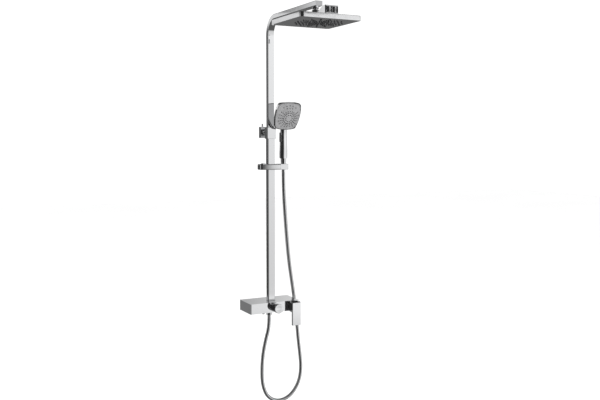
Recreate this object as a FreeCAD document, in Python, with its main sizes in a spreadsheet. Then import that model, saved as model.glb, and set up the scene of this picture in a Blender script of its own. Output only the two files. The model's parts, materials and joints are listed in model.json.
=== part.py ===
import FreeCAD, Part
import math
import os
import re
import Sketcher

# Rainfall shower column. Millimetres, +Z up, +Y into the wall, +X to the right as a bather sees it.
# The origin lies on the wall plane, midway between the two mixer inlets and at their height.

V = FreeCAD.Vector
doc = FreeCAD.newDocument("RainfallShowerColumn")

SIZES = {
    # shelf mixer
    "shelf_width": 225, "shelf_front": 120, "shelf_back": 2, "shelf_height": 43, "shelf_skin": 3,
    "shelf_corner": 3, "inlet_reach": 75, "inlet_radius": 10, "waterway_radius": 16,
    "waterway_bore": 8, "waterway_half": 102, "cartridge_back": 84, "port_radius": 5,
    "thread_radius": 12.06, "nut_flats": 30,
    # mixing valve and lever
    "lever_x": 82.5, "chamber_radius": 18, "cartridge_radius": 14, "fit_gap": 0.1,
    "lever_width": 38, "lever_top": 21, "lever_bottom": 78, "lever_plate": 11, "lever_front": 158,
    "hub_back": 124.5, "hub_low": 19.5, "hub_high": 20.5,
    # diverter
    "knob_radius": 19.5, "knob_back": 121.5, "knob_front": 158, "diverter_radius": 11,
    # column
    "column_y": 75, "outer_wide": 31.5, "outer_deep": 22, "inner_wide": 28.5, "inner_deep": 19,
    "riser_wall": 1.3, "tube_corner": 2.5, "column_foot": 22.3, "column_top": 753.8,
    "riser_bottom": 520, "bend_start": 1135.5, "bend_radius": 70, "arm_end": 502,
    # wall bracket and collar
    "bracket_z": 735.5, "plate_wide": 37, "plate_high": 47, "plate_deep": 20, "boss_radius": 15,
    "boss_front": 44, "neck_radius": 12.5, "collar_wide": 40, "collar_deep": 27,
    "collar_low": 708.8, "collar_high": 755.8, "screw_pitch": 29, "screw_hole": 2.25,
    # rain head
    "head_size": 250, "head_y": 475, "head_low": 1137.6, "head_thick": 18, "head_corner": 13,
    "head_skin": 3, "ball_z": 1173.7, "ball_radius": 11, "race_thick": 0.9, "nozzle_radius": 2.2,
    # spray selector on the head
    "selector_wide": 54, "selector_high": 29, "selector_long": 60, "button_radius": 10.5,
    # slider and handset holder
    "slider_z": 591, "slider_high": 24, "slider_left": 52, "slider_right": 37, "slider_deep": 46,
    "liner_wall": 1.5, "holder_left": 37.5, "holder_right": 75, "handset_x": 56, "handset_y": 85,
    # handset
    "cone_low": 580, "cone_high": 626, "cone_small": 10, "cone_large": 12, "face_tilt": 26,
    "face_x": 53, "face_y": 133, "face_z": 801, "face_thick": 3, "handset_thick": 15,
    # hose
    "hose_radius": 7.5, "outlet_y": 58, "outlet_nut_low": 44, "plug_x": 27,
}

sheet = doc.addObject("Spreadsheet::Sheet", "Sizes")
for row, (alias, value) in enumerate(SIZES.items(), start=1):
    sheet.set(f"A{row}", alias)
    sheet.set(f"B{row}", str(value))
    sheet.setAlias(f"B{row}", alias)
doc.recompute()

NODES = {}


# ---------------------------------------------------------------- helpers

def linked(text):
    """The expression with every sheet alias written as Sizes.alias."""
    return re.sub(r"[a-z]+(?:_[a-z]+)*", lambda m: "Sizes." + m[0] if m[0] in SIZES else m[0], str(text))


def bind(item, prop, text):
    """Bind one property to an expression of the sheet."""
    item.setExpression(prop, linked(text))


def locate(item, x, y, z):
    """Bind the three coordinates of an object's placement."""
    for letter, text in zip("xyz", (x, y, z)):
        bind(item, "Placement.Base." + letter, text)


def block(x_low, x_high, y_low, y_high, z_low, z_high):
    """A box between six limits."""
    item = doc.addObject("Part::Box", "Block")
    bind(item, "Length", f"({x_high}) - ({x_low})")
    bind(item, "Width", f"({y_high}) - ({y_low})")
    bind(item, "Height", f"({z_high}) - ({z_low})")
    locate(item, x_low, y_low, z_low)
    return item


TURNS = {
    "X": FreeCAD.Rotation(V(0, 1, 0), 90),
    "Y": FreeCAD.Rotation(V(1, 0, 0), -90),
    "Z": FreeCAD.Rotation(),
}


def lay_along(item, axis, across, low):
    """Turn an upright primitive along an axis and start it at low; across holds the other two places."""
    item.Placement = FreeCAD.Placement(V(), TURNS[axis])
    spots = {"X": (low, *across), "Y": (across[0], low, across[1]), "Z": (*across, low)}
    locate(item, *spots[axis])
    return item


def rod(axis, across, radius, low, high):
    """A cylinder along an axis from low to high."""
    item = doc.addObject("Part::Cylinder", "Rod")
    bind(item, "Radius", radius)
    bind(item, "Height", f"({high}) - ({low})")
    return lay_along(item, axis, across, low)


def taper(axis, across, radius_low, radius_high, low, high):
    """A cone frustum along an axis."""
    item = doc.addObject("Part::Cone", "Taper")
    bind(item, "Radius1", radius_low)
    bind(item, "Radius2", radius_high)
    bind(item, "Height", f"({high}) - ({low})")
    return lay_along(item, axis, across, low)


def hexagon(axis, across, flats, low, high):
    """A hexagonal bar with the given size across its flats."""
    item = doc.addObject("Part::Prism", "Hexagon")
    item.Polygon = 6
    bind(item, "Circumradius", f"({flats}) / sqrt(3)")
    bind(item, "Height", f"({high}) - ({low})")
    return lay_along(item, axis, across, low)


def ball(x, y, z, radius):
    """A whole sphere."""
    item = doc.addObject("Part::Sphere", "Ball")
    bind(item, "Radius", radius)
    locate(item, x, y, z)
    return item


def ring(axis, across, major, minor, at):
    """A torus about an axis."""
    item = doc.addObject("Part::Torus", "Ring")
    bind(item, "Radius1", major)
    bind(item, "Radius2", minor)
    return lay_along(item, axis, across, at)


def fuse(*parts):
    """One solid from several."""
    item = doc.addObject("Part::MultiFuse", "Fuse")
    item.Shapes = list(parts)
    item.Refine = True
    return item


def cut(base, *tools):
    """The base less its tools."""
    item = doc.addObject("Part::Cut", "Cut")
    item.Base = base
    item.Tool = tools[0] if len(tools) == 1 else fuse(*tools)
    item.Refine = True
    return item


def common(first, second):
    """What two solids share."""
    item = doc.addObject("Part::Common", "Common")
    item.Base = first
    item.Tool = second
    return item


def group(*parts):
    """Separate solids kept in one node."""
    item = doc.addObject("Part::Compound", "Group")
    item.Links = list(parts)
    return item


def rounded(base, radius, wanted):
    """Fillet the edges for which wanted(edge) is true."""
    doc.recompute()
    item = doc.addObject("Part::Fillet", "Rounded")
    item.Base = base
    picked = [i for i, edge in enumerate(base.Shape.Edges, start=1) if wanted(edge)]
    item.Edges = [(i, radius, radius) for i in picked]
    return item


def along(axis):
    """A test for straight edges parallel to an axis."""
    def test(edge):
        if edge.Curve.TypeId != "Part::GeomLine":
            return False
        return abs(getattr(edge.Curve.Direction, axis)) > 0.999
    return test


def node(name, item):
    """Name a finished sub-part."""
    item.Label = name
    NODES[name] = item
    return item


def body(name):
    """An empty PartDesign body that becomes a node."""
    return node(name, doc.addObject("PartDesign::Body", name))


def sketch_on(owner, role, name, lift="0"):
    """A sketch on one of the body's origin planes, lifted along the plane's normal."""
    plane = next(f for f in owner.Origin.OriginFeatures if f.Role == role)
    item = owner.newObject("Sketcher::SketchObject", name)
    item.AttachmentSupport = (plane, [""])
    item.MapMode = "FlatFace"
    bind(item, "AttachmentOffset.Base.z", lift)
    return item


def rectangle(sketch, width, depth, middle_y="0"):
    """A rectangle centred on the sketch's upright axis, its sizes bound to the sheet."""
    corners = [V(-9, -9, 0), V(9, -9, 0), V(9, 9, 0), V(-9, 9, 0)]
    first = sketch.GeometryCount
    for start, end in zip(corners, corners[1:] + corners[:1]):
        sketch.addGeometry(Part.LineSegment(start, end), False)
    for side in range(4):
        after = first + (side + 1) % 4
        sketch.addConstraint(Sketcher.Constraint("Coincident", first + side, 2, after, 1))
    for side, kind in enumerate(("Horizontal", "Vertical", "Horizontal", "Vertical")):
        sketch.addConstraint(Sketcher.Constraint(kind, first + side))
    sizes = [
        ("DistanceX", (first, 1, first, 2), 18, width),
        ("DistanceY", (first + 1, 1, first + 1, 2), 18, depth),
        ("DistanceX", (-1, 1, first, 2), 9, f"({width}) / 2"),
        ("DistanceY", (-1, 1, first + 1, 2), 9, f"({middle_y}) + ({depth}) / 2"),
    ]
    for kind, points, start_value, text in sizes:
        index = sketch.addConstraint(Sketcher.Constraint(kind, *points, start_value))
        bind(sketch, f"Constraints[{index}]", text)


def pad(owner, sketch, length):
    """Pad a sketch along its own normal."""
    item = owner.newObject("PartDesign::Pad", "Pad")
    item.Profile = sketch
    bind(item, "Length", length)
    doc.recompute()
    return item


def dress(owner, kind, base, size, wanted):
    """Fillet or chamfer the chosen edges of a body's feature."""
    item = owner.newObject("PartDesign::" + kind, kind)
    names = [f"Edge{i}" for i, edge in enumerate(base.Shape.Edges, start=1) if wanted(edge)]
    item.Base = (base, names)
    bind(item, "Radius" if kind == "Fillet" else "Size", size)
    doc.recompute()
    return item


# ---------------------------------------------------------------- shelf mixer

MIDDLE = "-column_y"


def build_shelf_casing():
    """The chrome box that covers the mixer and serves as a shelf, open towards the wall."""
    half = "shelf_width / 2"
    outer = block("-" + half, half, "-shelf_front", "-shelf_back", "-shelf_height / 2", "shelf_height / 2")
    outer = rounded(outer, SIZES["shelf_corner"], along("z"))
    inner = block(
        f"-{half} + shelf_skin", f"{half} - shelf_skin", "-shelf_front + shelf_skin", "1",
        "-shelf_height / 2 + shelf_skin", "shelf_height / 2 - shelf_skin",
    )
    openings = [
        rod("Y", ("lever_x", "0"), "chamber_radius - 1", "-shelf_front - 1", "-shelf_front + 5"),
        rod("Y", ("0", "0"), "diverter_radius + 3.5", "-shelf_front - 1", "-shelf_front + 5"),
        rod("Z", ("0", MIDDLE), "9", "shelf_height / 2 - 5", "shelf_height / 2 + 1"),
        rod("Z", ("0", "-outlet_y"), "10.5", "-shelf_height / 2 - 1", "-shelf_height / 2 + 5"),
        rod("Z", ("-plug_x", "-outlet_y"), "5", "-shelf_height / 2 - 1", "-shelf_height / 2 + 5"),
    ]
    for side in (-1, 1):
        openings.append(rod("Z", (f"{side} * 45", MIDDLE), "2.1", "-shelf_height / 2 - 1", "-shelf_height / 2 + 5"))
    return cut(outer, inner, *openings)


def build_valve_body():
    """The brass waterway behind the casing: two inlets, two valve chambers, three outlets."""
    solid = [
        rod("X", (MIDDLE, "0"), "waterway_radius", "-waterway_half", "waterway_half"),
        rod("Y", ("lever_x", "0"), "chamber_radius", "-shelf_front + 8", MIDDLE + " - 4"),
        rod("Y", ("0", "0"), "diverter_radius + 3.5", "-shelf_front + 8", MIDDLE),
        rod("Z", ("0", MIDDLE), "11", "0", "shelf_height / 2 - 3.2"),
        rod("Z", ("0", "-outlet_y"), "10", "-shelf_height / 2 + 3.2", "0"),
        rod("Z", ("-plug_x", "-outlet_y"), "8", "-shelf_height / 2 + 3.2", "0"),
    ]
    hollow = [
        rod("X", (MIDDLE, "0"), "waterway_bore", "-waterway_half - 1", "waterway_half + 1"),
        rod("Y", ("lever_x", "0"), "cartridge_radius + fit_gap", "-shelf_front", "-cartridge_back"),
        rod("Y", ("lever_x", "0"), "port_radius", "-cartridge_back - 1", MIDDLE),
        rod("Y", ("0", "0"), "diverter_radius + fit_gap", "-shelf_front", "-cartridge_back"),
        rod("Y", ("0", "0"), "port_radius", "-cartridge_back - 1", MIDDLE),
        rod("Z", ("0", MIDDLE), "8.05", "8", "shelf_height / 2"),
        rod("Z", ("0", MIDDLE), "5", "0", "9"),
        rod("Z", ("0", "-outlet_y"), "7.05", "-shelf_height / 2", "-6"),
        rod("Z", ("0", "-outlet_y - 8"), "4", "-7", "0"),
        rod("Z", ("-plug_x", "-outlet_y"), "4.05", "-shelf_height / 2", "-9"),
    ]
    for side in (-1, 1):
        x = f"{side} * inlet_reach"
        solid.append(rod("Y", (x, "0"), "inlet_radius", MIDDLE, "-18"))
        solid.append(rod("Y", (x, "0"), "inlet_radius + 1.8", "-18.3", "-16.2"))
        hollow.append(rod("Y", (x, "0"), "inlet_radius - 3", MIDDLE, "0"))
        hollow.append(rod("Z", (f"{side} * 45", MIDDLE), "2.05", "-17", "-9.5"))
    return cut(fuse(*solid), *hollow)


def build_waterway_plugs():
    """Brass plugs that close the two ends of the cross bore."""
    plugs = []
    for side in (-1, 1):
        low, high = ("-waterway_half - 3", "-waterway_half + 8") if side < 0 else (
            "waterway_half - 8", "waterway_half + 3")
        flange_low, flange_high = ("-waterway_half - 3", "-waterway_half") if side < 0 else (
            "waterway_half", "waterway_half + 3")
        plug = fuse(
            rod("X", (MIDDLE, "0"), "waterway_bore - 0.05", low, high),
            rod("X", (MIDDLE, "0"), "waterway_bore + 4", flange_low, flange_high),
        )
        plugs.append(plug)
    return group(*plugs)


def build_inlet_nuts():
    """Two union nuts that draw the mixer onto the wall unions."""
    nuts = []
    for side in (-1, 1):
        across = (f"{side} * inlet_reach", "0")
        nuts.append(cut(
            hexagon("Y", across, "nut_flats", "-26", "-shelf_back"),
            rod("Y", across, "inlet_radius + 0.3", "-27", "-18"),
            rod("Y", across, "thread_radius + 0.5", "-18.5", "-14"),
            rod("Y", across, "thread_radius", "-15", "0"),
        ))
    return group(*nuts)


def build_filter_washers():
    """Rubber washers with a strainer seat between the inlets and the wall unions."""
    washers = []
    for side in (-1, 1):
        across = (f"{side} * inlet_reach", "0")
        washers.append(cut(
            rod("Y", across, "inlet_radius + 1.8", "-16.2", "-14.2"),
            rod("Y", across, "inlet_radius - 3", "-17", "-14"),
        ))
    return group(*washers)


node("shelf_casing", build_shelf_casing())
node("valve_body", build_valve_body())
node("waterway_plugs", build_waterway_plugs())
node("inlet_union_nuts", build_inlet_nuts())
node("inlet_filter_washers", build_filter_washers())

screws = []
for side in (-1, 1):
    at = (f"{side} * 45", MIDDLE)
    screws.append(fuse(
        rod("Z", at, "2", "-shelf_height / 2 - 0.5", "-10"),
        rod("Z", at, "3.6", "-shelf_height / 2 - 2.2", "-shelf_height / 2"),
    ))
node("casing_screws", group(*screws))

LEVER_LINE = ("lever_x", "0")
node("mixing_cartridge", cut(
    fuse(
        rod("Y", LEVER_LINE, "cartridge_radius", "-106", "-cartridge_back"),
        rod("Y", LEVER_LINE, "cartridge_radius - 4", "-116", "-106"),
    ),
    rod("Y", LEVER_LINE, "6.5", "-117", "-98"),
))
node("cartridge_ring_nut", cut(
    rod("Y", LEVER_LINE, "chamber_radius - 1.5", "-122", "-112.2"),
    rod("Y", LEVER_LINE, "cartridge_radius - 3.8", "-123", "-112"),
))


def build_spindle():
    """The cartridge spindle: a ball that sits in the cartridge and a stem that enters the lever."""
    return fuse(
        ball("lever_x", "-104", "0", "5.5"),
        rod("Y", LEVER_LINE, "3.6", "-134", "-104"),
    )


node("cartridge_spindle", build_spindle())


def build_lever():
    """The single lever: a square hub in front of the casing and a long flat plate that hangs from it."""
    left, right = "lever_x - lever_width / 2", "lever_x + lever_width / 2"
    hub = block(left, right, "-lever_front + lever_plate - 1", "-hub_back", "-hub_low", "hub_high")
    plate = block(left, right, "-lever_front", "-lever_front + lever_plate", "-lever_bottom", "lever_top")
    plate = rounded(plate, 1.2, lambda edge: True)
    hub = rounded(hub, 1.2, along("y"))
    return cut(
        fuse(hub, plate),
        taper("Y", LEVER_LINE, "7", "12", "-138", "-120"),
        rod("Z", ("lever_x", "-131"), "2.05", "-lever_bottom", "-4"),
    )


node("mixer_lever", build_lever())
node("lever_grub_screw", rod("Z", ("lever_x", "-131"), "2", "-hub_low + 1", "-8"))

DIVERTER_LINE = ("0", "0")
node("diverter_cartridge", cut(
    fuse(
        rod("Y", DIVERTER_LINE, "diverter_radius", "-113", "-cartridge_back"),
        rod("Y", DIVERTER_LINE, "diverter_radius + 3", "-119", "-112.1"),
    ),
    rod("Y", DIVERTER_LINE, "4.1", "-120", "-cartridge_back - 3"),
))
node("diverter_spindle", rod("Y", DIVERTER_LINE, "4", "-143", "-cartridge_back - 4"))


def build_knob():
    """The round diverter knob, hollow behind, with a bored boss for the spindle."""
    outer = rounded(
        rod("Y", DIVERTER_LINE, "knob_radius", "-knob_front", "-knob_back"), 1.2,
        lambda edge: edge.Curve.TypeId == "Part::GeomCircle",
    )
    shell = cut(outer, rod("Y", DIVERTER_LINE, "knob_radius - 3.5", "-knob_front + 5", "-knob_back + 1"))
    boss = rod("Y", DIVERTER_LINE, "8", "-knob_front + 4", "-knob_back - 3")
    return cut(
        fuse(shell, boss),
        rod("Y", DIVERTER_LINE, "4.05", "-143.5", "-knob_back + 1"),
        rod("Z", ("0", "-133"), "2.05", "-knob_radius - 1", "0"),
    )


node("diverter_knob", build_knob())
node("knob_grub_screw", rod("Z", ("0", "-133"), "2", "-knob_radius + 2", "-4.1"))

OUTLET = ("0", "-outlet_y")
BOTTOM = "-shelf_height / 2"
node("hose_outlet_nipple", cut(
    fuse(
        rod("Z", OUTLET, "7", "-38", "-8"),
        rod("Z", OUTLET, "9.5", f"{BOTTOM} - 4", BOTTOM + " + 3"),
    ),
    rod("Z", OUTLET, "4.5", "-39", "-7"),
))
node("hose_lower_nut", cut(
    rounded(rod("Z", OUTLET, "12", "-outlet_nut_low", f"{BOTTOM} - 4.3"), 1,
            lambda edge: edge.Curve.TypeId == "Part::GeomCircle"),
    rod("Z", OUTLET, "7.05", "-40.5", BOTTOM),
    rod("Z", OUTLET, "4.5", "-outlet_nut_low - 1", "-40"),
))
node("hose_lower_washer", cut(rod("Z", OUTLET, "7", "-40.4", "-38.1"), rod("Z", OUTLET, "4.6", "-41", "-38")))
PLUG = ("-plug_x", "-outlet_y")
node("service_plug", fuse(
    rod("Z", PLUG, "4", "-shelf_height / 2 - 1", "-10"),
    taper("Z", PLUG, "5.6", "6.8", "-39", BOTTOM + " - 0.2"),
))

# ---------------------------------------------------------------- column


def build_foot_insert():
    """The brass insert that plugs into the valve body and carries the column's outer tube."""
    nipple = cut(
        rod("Z", ("0", MIDDLE), "8", "9", "column_foot"),
        *[cut(rod("Z", ("0", MIDDLE), "8.5", f"{z} - 0.7", f"{z} + 0.7"),
              rod("Z", ("0", MIDDLE), "6.7", f"{z} - 1", f"{z} + 1")) for z in (12, 16)],
    )
    wide, deep = "(outer_wide - 3) / 2", "(outer_deep - 3) / 2"
    square = block(f"-{wide}", wide, f"{MIDDLE} - {deep}", f"{MIDDLE} + {deep}", "column_foot", "50")
    square = rounded(square, 1, along("z"))
    return cut(
        fuse(nipple, square),
        rod("Z", ("0", MIDDLE), "4.5", "8", "51"),
        rod("Y", ("0", "38"), "2.05", f"{MIDDLE} + 4", f"{MIDDLE} + 15"),
    )


node("column_foot_insert", build_foot_insert())
node("foot_o_rings", group(*[ring("Z", ("0", MIDDLE), "7.4", "0.6", str(z)) for z in (12, 16)]))
node("column_foot_gasket", cut(
    block("-outer_wide / 2", "outer_wide / 2", f"{MIDDLE} - outer_deep / 2", f"{MIDDLE} + outer_deep / 2",
          "shelf_height / 2", "column_foot"),
    rod("Z", ("0", MIDDLE), "9", "20", "23"),
))


def hollow_tube(name, wide, deep, wall, low, high):
    """An upright rectangular tube padded from a two-loop sketch, corners rounded."""
    tube = body(name)
    outline = sketch_on(tube, "XY_Plane", name + "_outline", low)
    rectangle(outline, wide, deep, MIDDLE)
    solid = pad(tube, outline, f"({high}) - ({low})")
    solid = dress(tube, "Fillet", solid, "tube_corner", along("z"))
    bore = sketch_on(tube, "XY_Plane", name + "_bore", low)
    rectangle(bore, f"{wide} - 2 * ({wall})", f"{deep} - 2 * ({wall})", MIDDLE)
    before = solid.Shape.Volume
    pocket = tube.newObject("PartDesign::Pocket", "Bore")
    pocket.Profile = bore
    pocket.Type = "ThroughAll"
    pocket.Reversed = True
    doc.recompute()
    if pocket.Shape.Volume > before * 0.6:
        raise RuntimeError(name + ": the bore was not cut")
    return tube


outer_tube = hollow_tube("outer_tube", "outer_wide", "outer_deep", "1.4", "column_foot", "column_top")
side_hole = sketch_on(outer_tube, "XZ_Plane", "grub_hole")
side_hole.addGeometry(Part.Circle(V(0, 38, 0), V(0, 0, 1), 2.05), False)
grub_cut = outer_tube.newObject("PartDesign::Pocket", "GrubHole")
grub_cut.Profile = side_hole
grub_cut.Length = SIZES["column_y"] - 4
grub_cut.Reversed = True
lock_hole = sketch_on(outer_tube, "YZ_Plane", "lock_hole")
lock_hole.addGeometry(Part.Circle(V(-SIZES["column_y"], SIZES["collar_high"] - 12, 0), V(0, 0, 1), 2.55), False)
doc.recompute()
lock_cut = outer_tube.newObject("PartDesign::Pocket", "LockHole")
lock_cut.Profile = lock_hole
lock_cut.Length = 20
lock_cut.Reversed = True
doc.recompute()
node("foot_grub_screw", rod("Y", ("0", "38"), "2", f"{MIDDLE} + 4.2", f"{MIDDLE} + 10"))


def build_riser():
    """The inner tube: it slides in the outer tube, bends forward at the top and becomes the arm."""
    riser = body("riser_arm")
    path = sketch_on(riser, "YZ_Plane", "riser_path")
    back, low = -SIZES["column_y"], SIZES["riser_bottom"]
    turn, radius, end = SIZES["bend_start"], SIZES["bend_radius"], -SIZES["arm_end"]
    path.addGeometry(Part.LineSegment(V(back, low, 0), V(back, turn, 0)), False)
    path.addGeometry(Part.ArcOfCircle(Part.Circle(V(back - radius, turn, 0), V(0, 0, 1), radius),
                                      0, math.pi / 2), False)
    path.addGeometry(Part.LineSegment(V(back - radius, turn + radius, 0), V(end, turn + radius, 0)), False)
    profile = sketch_on(riser, "XY_Plane", "riser_section", "riser_bottom")
    rectangle(profile, "inner_wide", "inner_deep", MIDDLE)
    bore = sketch_on(riser, "XY_Plane", "riser_bore", "riser_bottom")
    rectangle(bore, "inner_wide - 2 * riser_wall", "inner_deep - 2 * riser_wall", MIDDLE)
    doc.recompute()
    solid = riser.newObject("PartDesign::AdditivePipe", "Sweep")
    solid.Profile = profile
    solid.Spine = (path, [])
    solid.Transition = "Transformed"
    doc.recompute()
    solid = dress(riser, "Fillet", solid, "tube_corner - 0.5", riser_corner)
    inside = riser.newObject("PartDesign::SubtractivePipe", "Waterway")
    inside.Profile = bore
    inside.Spine = (path, [])
    doc.recompute()
    return riser


def riser_corner(edge):
    """The long edges of the swept section: upright, bent, or along the arm."""
    if edge.Curve.TypeId == "Part::GeomLine":
        return abs(edge.Curve.Direction.x) < 0.001 and edge.Length > 50
    return edge.Length > 50


build_riser()
ARM_Z = "(bend_start + bend_radius)"
node("arm_end_cap", fuse(
    block("-inner_wide / 2 + riser_wall + 0.1", "inner_wide / 2 - riser_wall - 0.1", "-arm_end", "-arm_end + 8",
          f"{ARM_Z} - inner_deep / 2 + riser_wall + 0.1", f"{ARM_Z} + inner_deep / 2 - riser_wall - 0.1"),
    rounded(block("-inner_wide / 2", "inner_wide / 2", "-arm_end - 1.5", "-arm_end",
                  f"{ARM_Z} - inner_deep / 2", f"{ARM_Z} + inner_deep / 2"), 2, along("y")),
))
bush_wide, bush_deep = "inner_wide / 2", "inner_deep / 2"
node("riser_guide_bush", cut(
    rounded(block(f"-{bush_wide}", bush_wide, f"{MIDDLE} - {bush_deep}", f"{MIDDLE} + {bush_deep}",
                  "riser_bottom - 12", "riser_bottom"), 1, along("z")),
    block("-8", "8", f"{MIDDLE} - 5", f"{MIDDLE} + 5", "riser_bottom - 13", "riser_bottom + 1"),
))

# ---------------------------------------------------------------- collar and wall bracket


def build_collar():
    """The square collar that crowns the outer tube, guides the riser and meets the wall stem."""
    half_x, half_y = "collar_wide / 2", "collar_deep / 2"
    outer = rounded(block(f"-{half_x}", half_x, f"{MIDDLE} - {half_y}", f"{MIDDLE} + {half_y}",
                          "collar_low", "collar_high"), 2.5, along("z"))
    outer = rounded(outer, 0.8, lambda edge: abs(edge.CenterOfMass.z - edge.BoundBox.ZMax) < 0.01)
    return cut(
        outer,
        block("-outer_wide / 2 - 0.05", "outer_wide / 2 + 0.05", f"{MIDDLE} - outer_deep / 2 - 0.05",
              f"{MIDDLE} + outer_deep / 2 + 0.05", "collar_low - 1", "column_top"),
        block("-inner_wide / 2 - 0.1", "inner_wide / 2 + 0.1", f"{MIDDLE} - inner_deep / 2 - 0.1",
              f"{MIDDLE} + inner_deep / 2 + 0.1", "column_top - 1", "collar_high + 1"),
        rod("X", (MIDDLE, "collar_high - 12"), "2.55", "0", "30"),
    )


node("lock_collar", build_collar())
node("collar_lock_screw", fuse(
    rod("X", (MIDDLE, "collar_high - 12"), "2.5", "inner_wide / 2 + 0.05", "collar_wide / 2 + 1"),
    rod("X", (MIDDLE, "collar_high - 12"), "4", "collar_wide / 2", "collar_wide / 2 + 3"),
))

AXLE = ("0", "bracket_z")
PIN = ("-5.5", "-7")
half_wide, half_high = "plate_wide / 2", "plate_high / 2"
cover_box = block(f"-{half_wide}", half_wide, "-plate_deep", "0",
                  f"bracket_z - {half_high}", f"bracket_z + {half_high}")
cover_box = rounded(cover_box, 1.5, along("y"))
node("wall_cover", cut(
    cover_box,
    block(f"-{half_wide} + 2.5", f"{half_wide} - 2.5", "-plate_deep + 2.5", "1",
          f"bracket_z - {half_high} + 2.5", f"bracket_z + {half_high} - 2.5"),
    rod("Y", AXLE, "10.1", "-plate_deep - 1", "0"),
    rod("Z", PIN, "2.55", "bracket_z + 20", f"bracket_z + {half_high} + 1"),
))
wall_base = body("wall_base")
base_outline = sketch_on(wall_base, "XZ_Plane", "base_outline")
rectangle(base_outline, "plate_wide - 6", "plate_high - 6", "bracket_z")
base_pad = pad(wall_base, base_outline, "6")
for side in (-1, 1):
    hole_sketch = sketch_on(wall_base, "XZ_Plane", "base_hole")
    hole_sketch.addGeometry(Part.Circle(V(0, SIZES["bracket_z"] + side * SIZES["screw_pitch"] / 2, 0), V(0, 0, 1),
                                        SIZES["screw_hole"]), False)
    hole = wall_base.newObject("PartDesign::Pocket", "ScrewHole")
    hole.Profile = hole_sketch
    hole.Type = "ThroughAll"
    hole.Midplane = True
    doc.recompute()
centre_sketch = sketch_on(wall_base, "XZ_Plane", "base_centre")
centre_sketch.addGeometry(Part.Circle(V(0, SIZES["bracket_z"], 0), V(0, 0, 1), 8.05), False)
centre_hole = wall_base.newObject("PartDesign::Pocket", "CentreHole")
centre_hole.Profile = centre_sketch
centre_hole.Type = "ThroughAll"
centre_hole.Midplane = True
doc.recompute()

boss = rounded(rod("Y", AXLE, "boss_radius", "-boss_front", "-plate_deep"), 1,
               lambda edge: edge.Curve.TypeId == "Part::GeomCircle")
node("bracket_stem", fuse(
    boss,
    rod("Y", AXLE, "neck_radius", f"{MIDDLE} + collar_deep / 2", "-boss_front + 2"),
    rod("Y", AXLE, "10", "-plate_deep", "-6.2"),
    rod("Y", AXLE, "8", "-6.2", "-1"),
))
node("bracket_pin", fuse(
    rod("Z", PIN, "2.5", "bracket_z + 20.6", f"bracket_z + {half_high}"),
    rod("Z", PIN, "3.2", f"bracket_z + {half_high}", f"bracket_z + {half_high} + 13"),
))

# ---------------------------------------------------------------- rain head

HEAD = ("0", "-head_y")
HEAD_TOP = "(head_low + head_thick)"
FIELD_RINGS = 6
FIELD_FIRST = 22
FIELD_STEP = 13
FIELD_SPOKES = 16
FIELD_X = 14


def nozzle_places():
    """Nozzle centres of the rain head on spokes, about the middle of the field."""
    places = []
    for index in range(FIELD_RINGS):
        radius = FIELD_FIRST + index * FIELD_STEP
        for step in range(FIELD_SPOKES):
            angle = 2 * math.pi * step / FIELD_SPOKES
            places.append(V(radius * math.cos(angle), radius * math.sin(angle), 0))
    return places


field_centre = V(FIELD_X, -SIZES["head_y"], SIZES["head_low"])


def build_head_shell():
    """The rain head's square pan with its inlet stub."""
    half = "head_size / 2"
    outer = rounded(block(f"-{half}", half, f"-head_y - {half}", f"-head_y + {half}", "head_low", HEAD_TOP),
                    SIZES["head_corner"], along("z"))
    top_z = SIZES["head_low"] + SIZES["head_thick"]
    outer = rounded(outer, 1.2, lambda edge: abs(edge.BoundBox.ZMin - top_z) < 0.01)
    inside = f"({half} - head_skin)"
    pocket = rounded(block(f"-{inside}", inside, f"-head_y - {inside}", f"-head_y + {inside}",
                           "head_low - 1", f"{HEAD_TOP} - head_skin"),
                     SIZES["head_corner"] - SIZES["head_skin"], along("z"))
    stub = rod("Z", HEAD, "11.2", f"{HEAD_TOP} - 1", "ball_z - 13.2")
    return cut(fuse(cut(outer, pocket), stub), rod("Z", HEAD, "5.5", "head_low", "ball_z"))


def build_face_plate():
    """The flat plate under the rain head, pierced for every nozzle."""
    inside = "(head_size / 2 - head_skin - 0.2)"
    plate = rounded(block(f"-{inside}", inside, f"-head_y - {inside}", f"-head_y + {inside}",
                          "head_low", "head_low + 2.5"),
                    SIZES["head_corner"] - SIZES["head_skin"] - 0.2, along("z"))
    doc.recompute()
    radius = SIZES["nozzle_radius"] + 0.3
    holes = [Part.makeCylinder(radius, 6, field_centre + at + V(0, 0, -2)) for at in nozzle_places()]
    drill = doc.addObject("Part::Feature", "FaceDrills")
    drill.Shape = Part.makeCompound(holes)
    return cut(plate, drill)


def build_nozzle_mat():
    """The silicone mat above the plate, with one nozzle through each hole."""
    radius = SIZES["nozzle_radius"]
    mat_radius = FIELD_FIRST + (FIELD_RINGS - 1) * FIELD_STEP + 6
    shape = Part.makeCylinder(mat_radius, 2, field_centre + V(0, 0, 2.6))
    teats = [Part.makeCone(radius * 0.6, radius, 5.6, field_centre + at + V(0, 0, -2.8)) for at in nozzle_places()]
    item = doc.addObject("Part::Feature", "NozzleMat")
    item.Shape = shape.multiFuse(teats)
    return item


node("rain_head_shell", build_head_shell())
node("rain_head_face", build_face_plate())
node("rain_nozzle_mat", build_nozzle_mat())

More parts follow.
